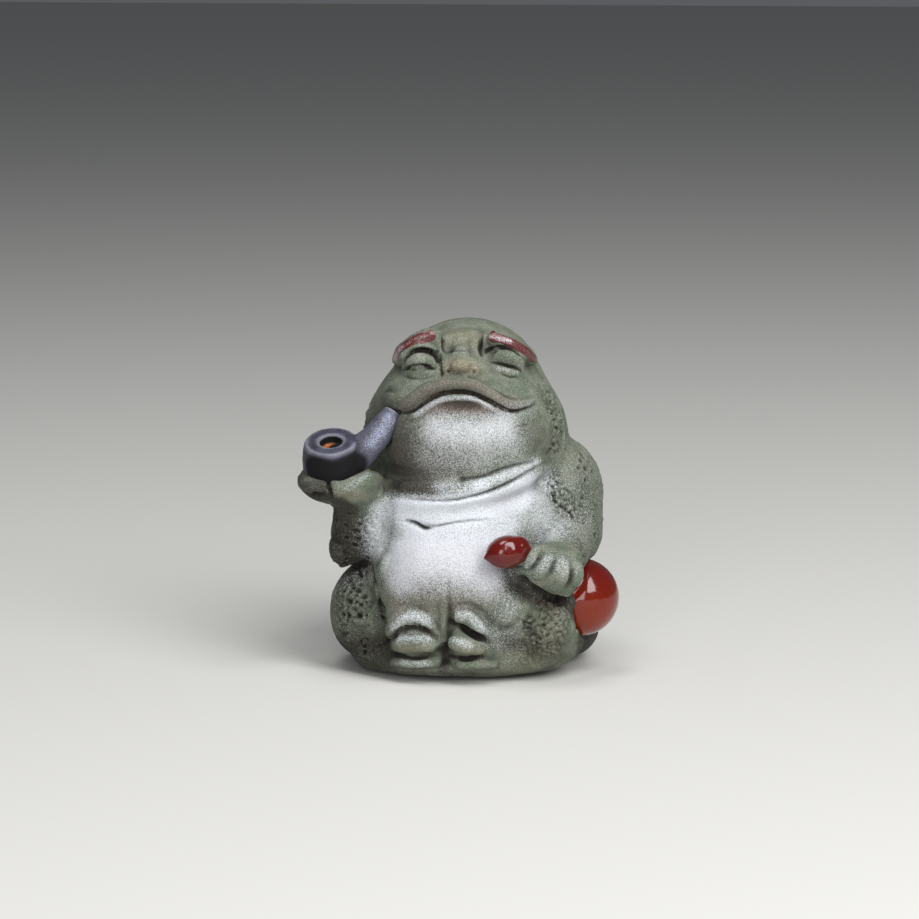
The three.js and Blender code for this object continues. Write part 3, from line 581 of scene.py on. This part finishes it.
coats = {
    "dust": [
        ([(440, 428), (470, 430), (500, 428)], 4.5, 0.55),
        ([(430, 430), (470, 438), (505, 428)], 6.5, 0.25),
        ([(430, 462), (475, 465), (515, 450)], 5.5, 0.3),
        ([(480, 485), (497, 478), (520, 469), (536, 462)], 1.8, 0.5, 0.1),
        ([(440, 489), (460, 489), (480, 485)], 2.6, 0.4),
        ([(408, 513), (440, 512), (490, 504), (520, 492)], 4, 0.95, 0.35),
        ([(520, 492), (540, 480)], 4, 0.6, 0.2),
        ([(530, 500), (540, 515), (545, 530)], 6.5, 0.5, 0.1),
        ([(410, 540), (440, 538), (480, 535), (500, 528)], 6, 0.85, 0.2),
        ([(412, 562), (440, 561), (480, 564)], 7.5, 0.78, 0.1),
        ([(410, 590), (440, 594), (470, 588)], 4.5, 0.12),
        ([(488, 590), (505, 604)], 4.5, 0.3),
        ([(485, 630), (512, 640)], 4.5, 0.25),
        ([(396, 628), (403, 619), (413, 616), (427, 621)], 2, 0.45),
        ([(400, 638), (415, 637), (428, 639)], 1.5, 0.4),
        ([(457, 614), (469, 614), (480, 625)], 2, 0.36),
        ([(455, 640), (470, 645)], 1.5, 0.35),
        ([(405, 662), (425, 664)], 1.8, 0.3),
        ([(562, 490), (572, 520)], 9, 0.16),
        ([(585, 545), (595, 480), (580, 430)], 8, 0.06),
        ([(390, 508), (384, 525), (382, 548)], 4, 0.6),
        ([(376, 510), (372, 530), (372, 555)], 3.5, 0.4),
        ([(392, 556), (390, 572), (396, 584)], 4.5, 0.5),
        ([(415, 415), (432, 404), (445, 399), (460, 397), (475, 399), (490, 407)], 0.9, 0.4),
        ([(500, 418), (528, 411)], 3, 0.2),
        ([(530, 566), (550, 561), (568, 567)], 3.2, 0.3),
        ([(345, 578), (362, 578)], 3, 0.2),
        ([(420, 385), (460, 340), (520, 380)], 9, 0.06),
        ([(346, 489), (360, 480), (368, 473)], 1.2, 0.25),
        ([(475, 562), (488, 575)], 4, 0.5),
        ([(498, 368.5), (508, 370.5), (517, 373)], 0.6, 0.2),
        ([(391, 636), (400, 630), (412, 627), (424, 629), (436, 636)], 0.9, -0.9),
        ([(449, 621), (460, 626), (470, 632), (487, 641)], 0.9, -0.9),
        ([(391, 653), (403, 657), (418, 658), (436, 655)], 0.9, -0.9),
        ([(450, 656), (466, 659), (482, 656)], 0.9, -0.9),
    ],
    # painted shade: under the fist and the gourd, at the rump, on the forearm and knee below the hand, along
    # the mouth and in the toe gaps; at the throat partly the brown of the clay
    "shade": [
        ([(400, 413), (413, 411), (421, 405.5), (430, 399.5), (437, 395.5), (445, 393), (460, 391.5),
          (470, 393), (480, 396.7), (488, 400), (496, 404.7), (506, 409.7), (516, 411.5)], 0.5, 0.9, 0.3),
        ([(388, 420), (397, 440), (400, 465), (420, 488)], 7, 0.8, 0.2),
        ([(434, 409), (450, 406), (470, 406), (486, 410)], 1.6, 0.4),
        ([(395, 488), (425, 491), (450, 491)], 2, 0.6),
        ([(415, 450), (450, 458)], 5, 0.35),
        ([(334, 510), (342, 535), (347, 562)], 5.5, 0.95, 0.4),
        ([(352, 510), (358, 535), (358, 560)], 4, 0.6),
        ([(335, 640), (355, 655), (383, 655)], 5.5, 0.9, 0.3),
        ([(345, 600), (350, 625)], 7, 0.35),
        ([(310, 494), (322, 494), (335, 500), (348, 509)], 2.2, 1, 0.5),
        ([(300, 474), (304, 486), (324, 484)], 2.8, 0.9),
        ([(322, 486), (329, 488), (333, 496)], 1.2, 0.9),
        ([(522, 586), (545, 597), (565, 599)], 2.6, 0.95, 0.4),
        ([(494, 568), (510, 574), (525, 582)], 1.8, 0.95, 0.2),
        ([(575, 602), (578, 620), (583, 645)], 3, 0.95, 0.5),
        ([(20, -4, 4), (19, 4, 4), (15, 12, 4)], 6, 0.95, 0.3),
        ([(450, 603), (449, 625)], 0.8, 0.35),
        ([(449, 618), (447, 650)], 0.9, 0.5),
        ([(390, 628), (396, 617), (407, 608.5), (419, 608), (430, 614)], 0.9, 0.4),
        ([(452, 611), (460, 603), (472, 603), (484, 611), (493, 624)], 0.8, 0.4),
        ([(500, 645), (530, 645), (560, 655)], 6, 0.5),
        ([(585, 480), (592, 520), (585, 548)], 7, 0.35),
        ([(444, 648), (443, 672)], 1.6, 0.9),
        ([(391, 637), (400, 630), (412, 627.5), (424, 629), (436, 637)], 0.9, 0.95, 0.2),
        ([(449, 621), (460, 626), (470, 632), (488, 641)], 0.9, 0.8),
        ([(391, 653), (403, 657), (418, 658), (436, 655)], 0.8, 0.7),
        ([(450, 656), (466, 659), (482, 656)], 0.8, 0.7),
        ([(378, 605), (380, 625), (386, 655)], 2.2, 0.55),
        ([(500, 575), (520, 588), (545, 600)], 2.8, 0.8, 0.3),
        ([(530, 432), (548, 446)], 4.5, 0.45),
        ([(400, 672), (460, 674), (520, 674), (550, 668)], 1.6, 0.6),
    ],
    "warm": [
        ([(446, 368), (461, 363), (474, 368)], 2.6, 0.75),
        ([(450, 332), (470, 335)], 4.5, 0.4),
        ([(403, 650), (425, 652)], 2, 0.5),
        ([(460, 652), (478, 654)], 2, 0.5),
        ([(555, 615), (545, 640), (520, 660)], 5, 0.25),
        ([(338, 495), (360, 495)], 1.5, 0.4),
    ],
    "lip": [
        ([(402, 406), (410, 400), (420, 394), (430, 388.5), (442, 384), (455, 383), (470, 384), (483, 389),
          (493, 396), (503, 402), (514, 405)], 2.6, 0.65),
        ([(425, 412), (445, 403), (460, 401), (475, 403), (490, 410)], 2, 0.5),
        ([(400, 455), (430, 470), (455, 470)], 6, 0.3),
        ([(436, 408), (460, 406.5), (484, 409)], 1.9, 0.95, 0.2),
        ([(398, 604), (425, 598), (455, 600), (485, 590)], 5, 0.55),
    ],
    "blush": [
        ([(412, 545), (440, 543), (480, 545)], 5, 0.4),
        ([(408, 568), (440, 568), (480, 568)], 7.5, 0.85, 0.3),
        ([(430, 436), (470, 438), (505, 430)], 6.5, 0.75, 0.3),
        ([(505, 500), (530, 488), (545, 505)], 4.5, 0.6),
        ([(388, 515), (384, 530), (382, 548)], 4, 0.5),
    ],
    # painted highlights on the glazed brows
    "paintedHighlight": [
        ([(393, 361), (396, 354), (401, 348)], 1, 0.75),
        ([(403, 347), (412, 341), (424, 335)], 0.6, 0.35),
        ([(489, 336), (500, 338.5), (510, 341.5)], 0.8, 0.8),
        ([(520, 345), (529, 352)], 0.6, 0.3),
    ],
    "glaze": [
        ([(394, 359), (398, 352), (404, 346.5), (412, 341), (421, 337), (431, 334)], 0.85, 1, 0.75),
        ([(422, 338.5), (431, 336.5)], 0.95, 1, 0.75),
        ([(491, 336), (501, 338.5), (511, 342.5), (521, 347.5), (529, 353.5), (534, 359)], 0.85, 1, 0.75),
        ([(491, 333.5), (493, 338)], 0.9, 1, 0.8),
    ],
}


def soleLift(x, y, z):
    # outside its flat middle the underside rounds off upwards, most at the front and left
    sole = toadSetup["sole"]
    away = np.hypot(x / sole["halfWidth"], y / sole["halfDepth"])
    out = np.clip((away - sole["flat"]) / (1 - sole["flat"]), 0, 1.2)
    front = np.clip((0.35 - y / np.hypot(x, y) - 0.5 * (x < 0)), 0, 1)
    return sole["lift"] * out**2 * front * np.clip(1 - z / sole["height"], 0, 1) ** 2


def toadBlank():
    bm = bmesh.new()
    bm.from_mesh(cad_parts["toad"].data)
    bmesh.ops.remove_doubles(bm, verts=bm.verts, dist=0.01 * mm)
    skin = bpy.data.meshes.new("skin")
    bm.to_mesh(skin)
    bm.free()
    skin = withModifiers("skin", skin, remeshed(*toadSetup["baseRemesh"]))
    base = Clay(skin)
    bm = bmesh.new()
    bm.from_mesh(skin)
    for line, radii, lift in forms.values():
        addRoll(bm, base.laid(line, 2, lift), radii, 4 * len(line))
    bm.to_mesh(skin)
    bm.free()
    return withModifiers("blank", skin, remeshed(*toadSetup["remesh"]))


def buildToad():
    draw = random.Random(toadSetup["seed"])
    clay = Clay(toadBlank())
    print("toad blank:", len(clay.places), "vertices")
    clay.sprayAll(texture)
    for line, radius, height in swells.values():
        clay.swell(clay.laid(line), radius, height)
    clay.refresh()
    for line, width, depth in creases.values():
        clay.groove(clay.laid(line), width, depth)
    clay.refresh()
    for line, radius in smoothed.values():
        clay.smooth(clay.laid(line), radius, toadSetup["smoothRounds"])
    clay.crumble(clay.paint["crumble"], *toadSetup["crumble"])
    clay.refresh()
    pits = clay.pitted(clay.paint["pits"], toadSetup["pits"], draw)
    clay.refresh()
    warts = clay.pitted(clay.paint["pits"], toadSetup["warts"], draw)
    print("toad:", pits, "pits and", warts, "warts")
    clay.places[:, 2] += soleLift(*clay.places.T)
    clay.places[:, 2] = np.maximum(clay.places[:, 2], 0)
    clay.refresh()
    clay.mesh.calc_loop_triangles()
    ratio = min(1, toadSetup["triangles"] / len(clay.mesh.loop_triangles))
    thinner = [("DECIMATE", {"decimate_type": "COLLAPSE", "ratio": ratio})]
    clay = Clay(withModifiers("moneyToad", clay.mesh, thinner))
    clay.sprayAll({"pits": texture["pits"], **coats})
    for name, (rounds, full) in toadSetup["creaseShadeAndWear"].items():
        clay.paint[name] = np.clip(clay.hollowness(rounds) / full, 0, 1)
    clay.keepPaint()
    toad = addObject("moneyToad", clay.mesh)
    clay.mesh.shade_smooth()
    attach(toad, "root")
    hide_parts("toad")
    clay.mesh.calc_loop_triangles()
    print("toad:", len(clay.mesh.loop_triangles), "triangles")
    return toad


clayTones = {
    "sage": tone(128, 133, 118),
    "moss": tone(98, 108, 90),
    "brownShade": tone(38, 31, 23),
    "olive": tone(146, 134, 108),
    "lip": tone(118, 104, 96),
    "dust": tone(230, 235, 242),
    "blush": tone(202, 202, 209),
    "fleck": tone(48, 46, 40),
    "crease": tone(34, 30, 26),
    "glaze": tone(82, 22, 22),
    "paintedHighlight": tone(196, 186, 190),
}


def sageClay():
    # body colour, then painted shade in brown, white powder, painted shade in the creases, the glazed brows
    # and painted highlights on them
    finish = Finish("sageClay")
    dust, blush, shade, warm, lip = map(finish.painted, ("dust", "blush", "shade", "warm", "lip"))
    glaze, paintedHighlight, rough = map(finish.painted, ("glaze", "paintedHighlight", "pits"))
    hollow, deep, worn = map(finish.painted, toadSetup["creaseShadeAndWear"])
    grain = finish.noise(0.21 * mm, 3, 0.7).step(0.3, 0.7)
    patches = finish.noise(3 * mm, 3, 0.6)
    colour = finish.mix(patches.step(0.35, 0.65), clayTones["moss"], clayTones["sage"])
    # painted shade: the shade layer and the deep hollows turn the clay dark brown
    colour = finish.mix((shade * 0.9 + deep * 0.5).clamped(), colour, clayTones["brownShade"])
    colour = finish.mix(warm * 0.85, colour, clayTones["olive"])
    colour = finish.mix(lip * 0.85, colour, clayTones["lip"])
    flecks = (0.6 - grain).clamped() * (rough * 0.9 + 0.75)
    colour = finish.mix(flecks, colour, clayTones["fleck"])
    covered = (dust * (1 - deep * 0.3) + worn * 0.08).clamped()  # less powder deep down, more on worn edges
    powder = (covered * 1.25 - 0.23 + (grain - 0.5) * 0.75).clamped()  # thin powder breaks up into grains
    colour = finish.mix(powder, colour, finish.mix(blush, clayTones["dust"], clayTones["blush"]))
    # painted shade: creases darkened almost to black
    colour = finish.mix((hollow * 0.8 + deep * 0.2).clamped(), colour, clayTones["crease"])
    edge = (glaze + (grain - 0.5) * 0.3).step(0.45, 0.6)
    colour = finish.mix(edge, colour, clayTones["glaze"])
    # painted highlight: pale and grainy over the glaze
    highlightShare = (paintedHighlight * 1.1 - 0.35 + (grain - 0.5) * 1.1).clamped()
    colour = finish.mix(highlightShare * edge, colour, clayTones["paintedHighlight"])
    grit = finish.noise(0.8 * mm) * 0.6 * rough + grain * (1 - edge * 0.6)
    return finish.finished({
        "Base Color": colour,
        "Roughness": 0.86 - edge * 0.5 + highlightShare * 0.3,
        "Coat Weight": edge * 0.5,
        "Coat Roughness": 0.15,
        "Specular IOR Level": 0.35,
        "Normal": finish.bump(grit, 0.1 * mm, 0.8),
    })


finishPiece(buildToad(), sageClay())


# The pipe: bowl and stem in one piece of clay
pipeSetup = {
    "foot": (-18.8, -15.4, 31),
    "lean": 23.5,  # degrees forwards
    "profile": [  # radius and height, up the outside and down the bore to the ash
        (0, 0), (2.9, 0), (3.9, 0.35), (4.4, 1.2), (4.75, 2.8), (4.72, 4.8), (4.5, 6.4), (4.25, 7.4),
        (3.95, 7.78), (2.1, 7.8), (1.8, 7.62), (1.72, 7.2), (1.66, 6.2), (1.4, 5.95), (0, 5.85),
    ],
    "bore": {"radius": 2, "deepest": 3, "brim": 7.5, "ash": 6.5, "ashEdge": 0.3},  # radius, then heights
    "ashAndLight": (1.3, 1.6),  # painted light: how far towards +X of the foot the ash is painted lit, and the width of its soft edge
    "stem": [(-18.6, -16.8, 34.2), (-15.8, -16.9, 35.3), (-12.8, -15.9, 37.8), (-10.6, -14.2, 40.5),
             (-9.6, -13.4, 42)],
    "stemRadii": [3, 2.95, 2.35, 2.1, 1.75],
    "remesh": (0.17, 4),
    "coats": {
        # pale grains and painted light on the top of the stem
        "paleGrainsAndLight": [([(372, 442), (382, 430), (389, 418)], 2.2, 1)],
        # painted shade low on the bowl
        "paintedShade": [([(316, 470), (334, 474), (354, 467)], 3.1, 1, 0.6)],
    },
}


def buildPipe():
    bm = bmesh.new()
    loop = [bm.verts.new((radius * mm, 0, height * mm)) for radius, height in pipeSetup["profile"]]
    edges = [bm.edges.new(pair) for pair in zip(loop, loop[1:])]
    bmesh.ops.spin(bm, geom=loop + edges, cent=(0, 0, 0), axis=(0, 0, 1), angle=math.tau, steps=64,
                   use_merge=True)
    bmesh.ops.remove_doubles(bm, verts=bm.verts, dist=0.01 * mm)
    bmesh.ops.recalc_face_normals(bm, faces=bm.faces)
    lean = Matrix.Rotation(math.radians(pipeSetup["lean"]), 4, "X")
    upright = Matrix.Translation(Vector(pipeSetup["foot"]) * mm) @ lean
    bmesh.ops.transform(bm, matrix=upright, verts=bm.verts)
    addRoll(bm, pipeSetup["stem"], pipeSetup["stemRadii"], 30, 10)
    mesh = bpy.data.meshes.new("pipe")
    bm.to_mesh(mesh)
    bm.free()
    clay = Clay(withModifiers("clayPipe", mesh, remeshed(*pipeSetup["remesh"])))
    axis = np.array(upright.to_3x3() @ Vector((0, 0, 1)))
    offset = clay.places - np.array(pipeSetup["foot"])
    height = offset @ axis
    radius = np.linalg.norm(offset - height[:, None] * axis, axis=1)
    bore, (ashAndLight, ashLightEdge) = pipeSetup["bore"], pipeSetup["ashAndLight"]
    inside = (radius < bore["radius"]) & (height > bore["deepest"]) & (height < bore["brim"])
    ash = inside * np.clip((bore["ash"] - height) / bore["ashEdge"], 0, 1)
    # painted light: the ash is lit on its -X side and fades into painted shade towards +X
    clay.paint["ashAndLight"] = ash * np.clip((ashAndLight - offset[:, 0]) / ashLightEdge, 0, 1)
    # painted shade: the rest of the bore dark
    clay.paint["paintedShade"] = inside * (1 - clay.paint["ashAndLight"])
    clay.paint["worn"] = np.clip(-clay.hollowness(12) / 0.1, 0, 1)
    clay.sprayAll(pipeSetup["coats"])
    clay.keepPaint()
    pipe = addObject("clayPipe", clay.mesh)
    clay.mesh.shade_smooth()
    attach(pipe, "root")
    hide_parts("pipe")
    print("pipe:", len(clay.mesh.polygons), "faces")
    return pipe


def slateClay():
    # blue-grey clay with pale grains and edges, more pale grains and painted light on top of the stem,
    # painted shade low on the bowl and inside the bore, and ash in the bore with a painted lit side
    finish = Finish("slateClay")
    ashAndLight, paintedShade, worn, paleGrainsAndLight = map(finish.painted, ("ashAndLight", "paintedShade", "worn", "paleGrainsAndLight"))
    grain = finish.noise(0.2 * mm, 2, 0.6)
    patches = finish.noise(2.5 * mm, 3).step(0.35, 0.65)
    colour = finish.mix(patches, tone(40, 39, 48), tone(64, 65, 80))
    paleGrains = (grain + paleGrainsAndLight * 0.2).step(0.56, 0.76) * (0.25 + paleGrainsAndLight * 0.5)
    colour = finish.mix(paleGrains, colour, tone(150, 155, 178))
    colour = finish.mix((worn * (grain + 0.3)).clamped(), colour, tone(158, 158, 172))
    colour = finish.mix(paintedShade * 0.95, colour, tone(7, 6, 6))
    crumbs = finish.noise(0.5 * mm, 3, 0.7).step(0.4, 0.6)
    colour = finish.mix(ashAndLight, colour, finish.mix(crumbs, tone(110, 52, 18), tone(176, 104, 48)))
    return finish.finished({
        "Base Color": colour,
        "Roughness": 0.55 + grain * 0.2 + paintedShade * 0.25,
        "Specular IOR Level": 0.25,
        "Normal": finish.bump(grain, 0.04 * mm, 0.6),
    })


finishPiece(buildPipe(), slateClay())


# The gourd, as one row of radii along its spine, from the nub of the small bulb to the end of the big one
gourdSetup = {
    "smallBulb": (9.4, -21.1, 21.75),
    "toNub": (-0.86, -0.47, -0.2),
    "small": [  # distance towards the nub, radius
        (3.95, 0.3), (3.6, 0.45), (3.3, 0.8), (2.9, 1.4), (2.3, 1.95), (1.4, 2.4), (0.4, 2.6), (-0.6, 2.55),
        (-1.5, 2.3), (-2.1, 1.85),
    ],
    "neck": [((12.6, -18.6, 20.6), 1.15), ((13.6, -16.2, 19.6), 1.5), ((14.7, -13.2, 18.1), 1.7)],
    "bigBulb": (19.18, -6.63, 12.12),
    "bigRadius": 6.2,
    "axis": (0.4504, 0.6606, -0.6006),
    "angles": [150, 135, 120, 105, 90, 75, 60, 45, 32, 20, 10, 3],  # of its rings, from its far end
    "remesh": (0.24, 6),
    "dents": [([(508, 542), (508, 552), (505, 562)], 1.2, 0.15), ([(519, 543), (521, 553)], 1, 0.1)],
}


def buildGourd():
    nub, axis = Vector(gourdSetup["toNub"]).normalized(), Vector(gourdSetup["axis"]).normalized()
    small, big = Vector(gourdSetup["smallBulb"]), Vector(gourdSetup["bigBulb"])
    spine = [(small + nub * distance, radius) for distance, radius in gourdSetup["small"]]
    spine += [(Vector(place), radius) for place, radius in gourdSetup["neck"]]
    for angle in map(math.radians, gourdSetup["angles"]):
        ring = gourdSetup["bigRadius"] * math.sin(angle)
        spine.append((big + axis * gourdSetup["bigRadius"] * math.cos(angle), ring))
    bm = bmesh.new()
    addRoll(bm, [tuple(place) for place, _ in spine], [radius for _, radius in spine], 8 * len(spine), 16)
    mesh = bpy.data.meshes.new("gourd")
    bm.to_mesh(mesh)
    bm.free()
    clay = Clay(withModifiers("glazedGourd", mesh, remeshed(*gourdSetup["remesh"])))
    for line, width, depth in gourdSetup["dents"]:
        clay.groove(clay.laid(line), width, depth)
    clay.refresh()
    gourd = addObject("glazedGourd", clay.mesh)
    clay.mesh.shade_smooth()
    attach(gourd, "root")
    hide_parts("gourd")
    print("gourd:", len(clay.mesh.polygons), "faces")
    return gourd


def redGlaze():
    # dark red that turns amber lower down, with darker streaks
    finish = Finish("redGlaze")
    height = finish.node("SeparateXYZ", {}, {0: finish.coordinates}, output=2) / (20 * mm)
    streaks = finish.noise(1.6 * mm, 3, 0.5, 0.6)
    amber = (1 - height + (streaks - 0.5) * 0.3).step(0.1, 0.75)
    colour = finish.mix(amber, tone(88, 15, 10), tone(128, 38, 0))
    colour = finish.mix(streaks.step(0.5, 0.8) * 0.4, colour, tone(70, 20, 16))
    return finish.finished({
        "Base Color": colour,
        "Roughness": 0.3,
        "Coat Weight": 1,
        "Coat Roughness": 0.1,
        "Coat IOR": 1.48,
        "Specular IOR Level": 0.05,
        "Normal": finish.bump(finish.noise(2.2 * mm, 1), 0.05 * mm, 0.25),
    })


finishPiece(buildGourd(), redGlaze())


# Floor and light
stageSetup = {
    "floor": tone(205, 204, 200),
    "floorHalf": 3,  # metres
    "world": tone(190, 194, 200),
    "worldStrength": 0.2,
    "target": (0, 0, 0.03),
    "lights": {  # place, width and height in metres, power in watts
        "key": ((0.37, -0.37, 0.52), (0.34, 0.6), 5.7),
        "fill": ((0.05, -0.75, 0.24), (0.45, 0.4), 2.8),
        "top": ((-0.1, -0.12, 0.75), (0.3, 0.3), 1.8),
    },
}


def areaLight(name, place, size, power):
    light = addObject(name, bpy.data.lights.new(name, "AREA"))
    light.data.shape = "RECTANGLE"
    light.data.size, light.data.size_y = size
    light.data.energy = power
    light.location = place
    light.rotation_euler = (Vector(stageSetup["target"]) - Vector(place)).to_track_quat("-Z", "Y").to_euler()


def setStage():
    bm = bmesh.new()
    bmesh.ops.create_grid(bm, x_segments=1, y_segments=1, size=stageSetup["floorHalf"])
    mesh = bpy.data.meshes.new("floor")
    bm.to_mesh(mesh)
    bm.free()
    floor = addObject("floor", mesh)
    finish = Finish("floorPaint")
    mesh.materials.append(finish.finished({"Base Color": stageSetup["floor"], "Roughness": 0.9}))
    world = bpy.data.worlds.new("studio")
    bpy.context.scene.world = world
    world.use_nodes = True
    background = world.node_tree.nodes["Background"]
    background.inputs["Color"].default_value = stageSetup["world"]
    background.inputs["Strength"].default_value = stageSetup["worldStrength"]
    for name, light in stageSetup["lights"].items():
        areaLight(name, *light)
    bpy.context.scene.view_settings.view_transform = "Standard"


setStage()
print("floor and lights placed")
